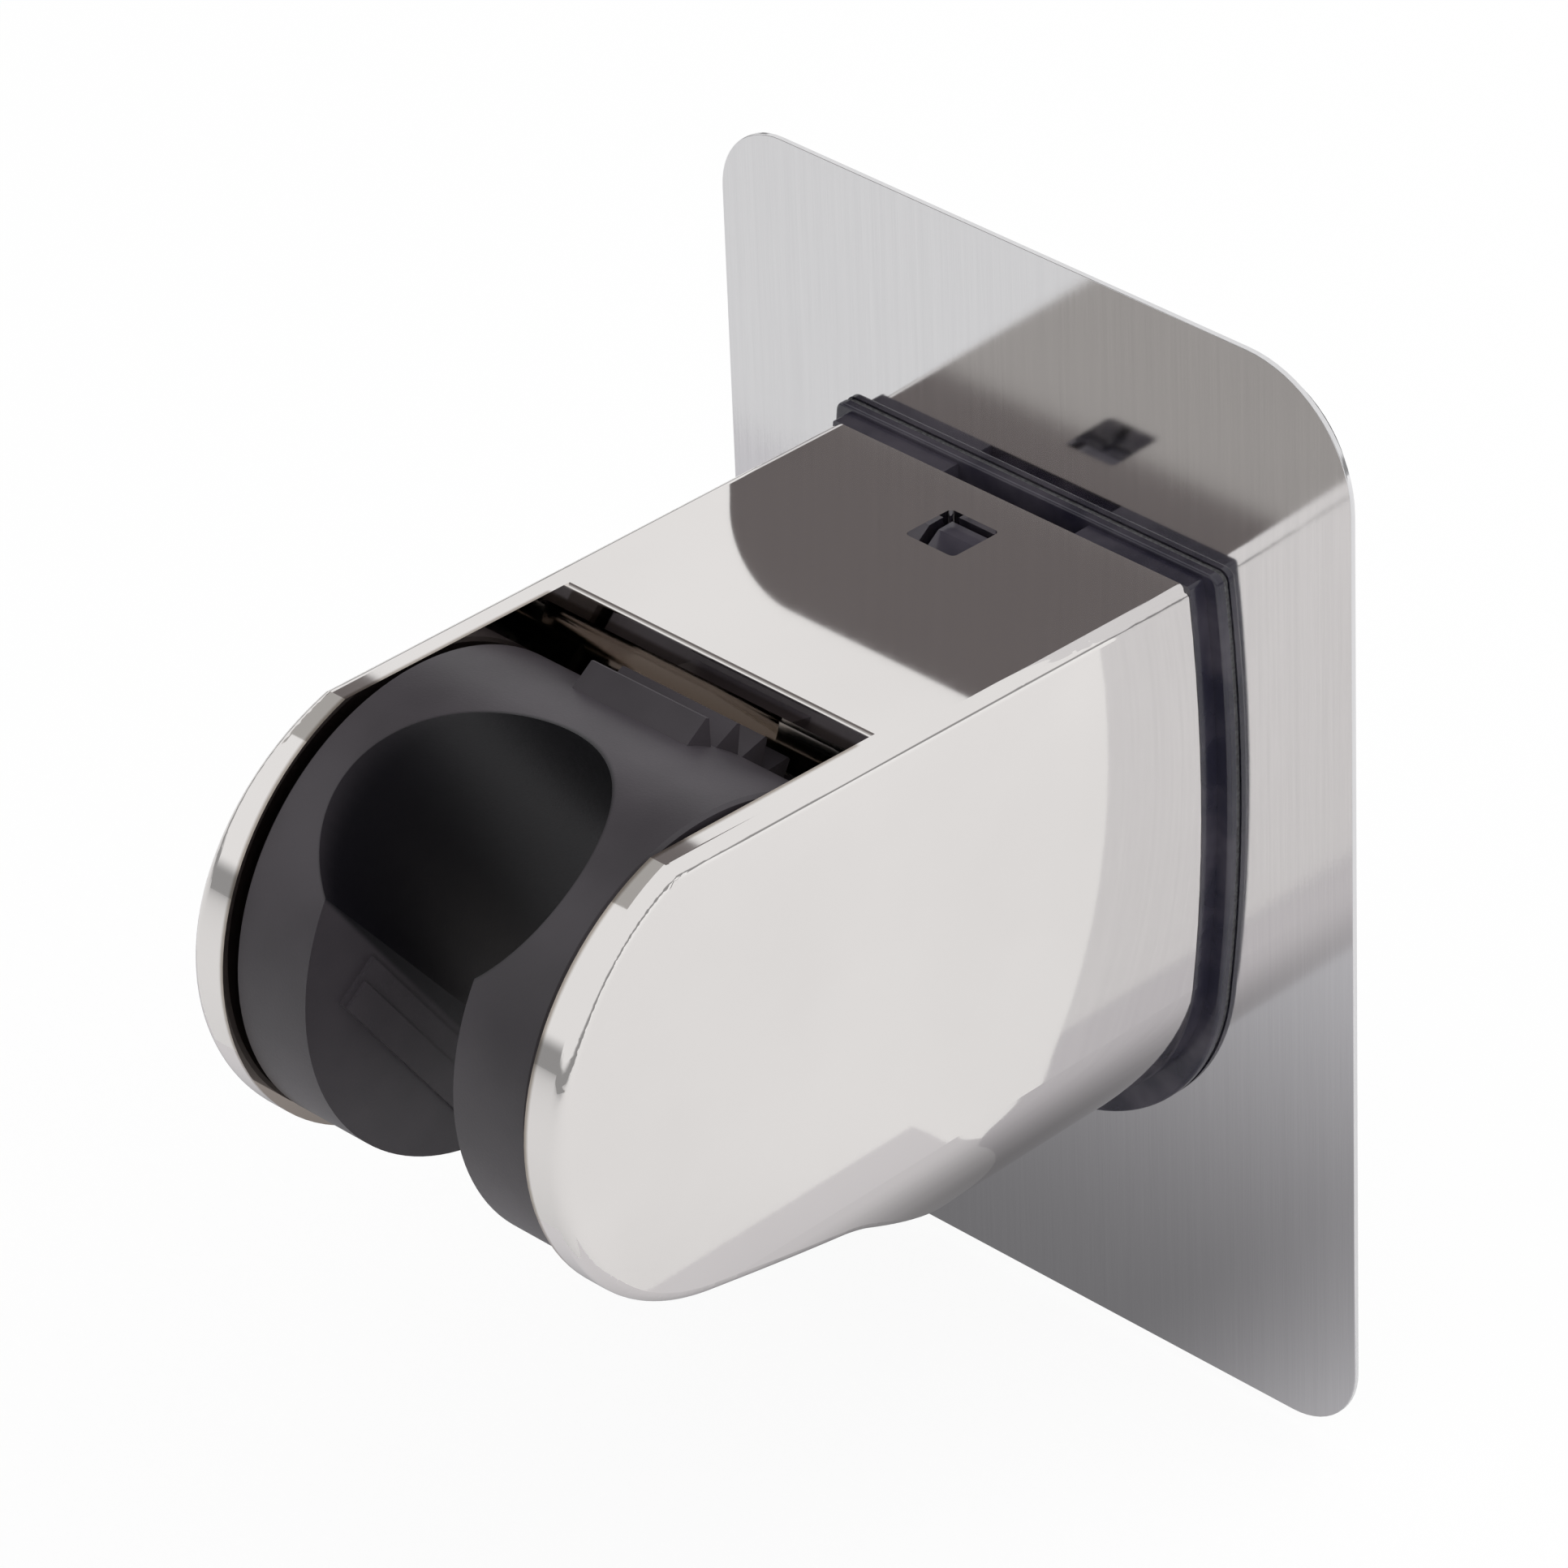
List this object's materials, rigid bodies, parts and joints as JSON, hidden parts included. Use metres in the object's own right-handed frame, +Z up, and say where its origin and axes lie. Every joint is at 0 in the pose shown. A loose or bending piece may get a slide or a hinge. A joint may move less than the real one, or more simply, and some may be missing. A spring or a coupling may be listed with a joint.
{
  "type": "hand shower holder",
  "caption": "Self-adhesive wall holder for a hand shower: steel back plate, chromed fork and a black tilting cradle with a conical socket and a hose slot.",
  "frame": {"origin": "centre of the adhesive face that sticks to the wall", "axes": "+X to the right for someone facing the wall, +Y into the wall, +Z up"},
  "size_m": [0.069, 0.0768, 0.101],
  "materials": {
    "adhesive": "matte foam",
    "brushed_steel": "vertical brush lines",
    "smoked_plastic": "smoky, slightly see-through, glossy",
    "chrome": "mirror-bright chrome on plastic",
    "spring_steel": "bright spring steel",
    "black_plastic": "fine satin black"
  },
  "bodies": {
    "holder": {"adhesive_pad": "adhesive", "back_plate": "brushed_steel", "bracket_tape": "adhesive", "wall_bracket": "smoked_plastic", "housing": "chrome", "detent_spring": "spring_steel"},
    "cradle": {"cradle": "black_plastic"}
  },
  "joints": [
    {"name": "cradle_tilt", "type": "hinge", "parent": "holder", "child": "cradle", "pos_m": [0, -0.0557, 0.0099], "axis": [1, 0, 0], "range_deg": [-30, 20]}
  ]
}
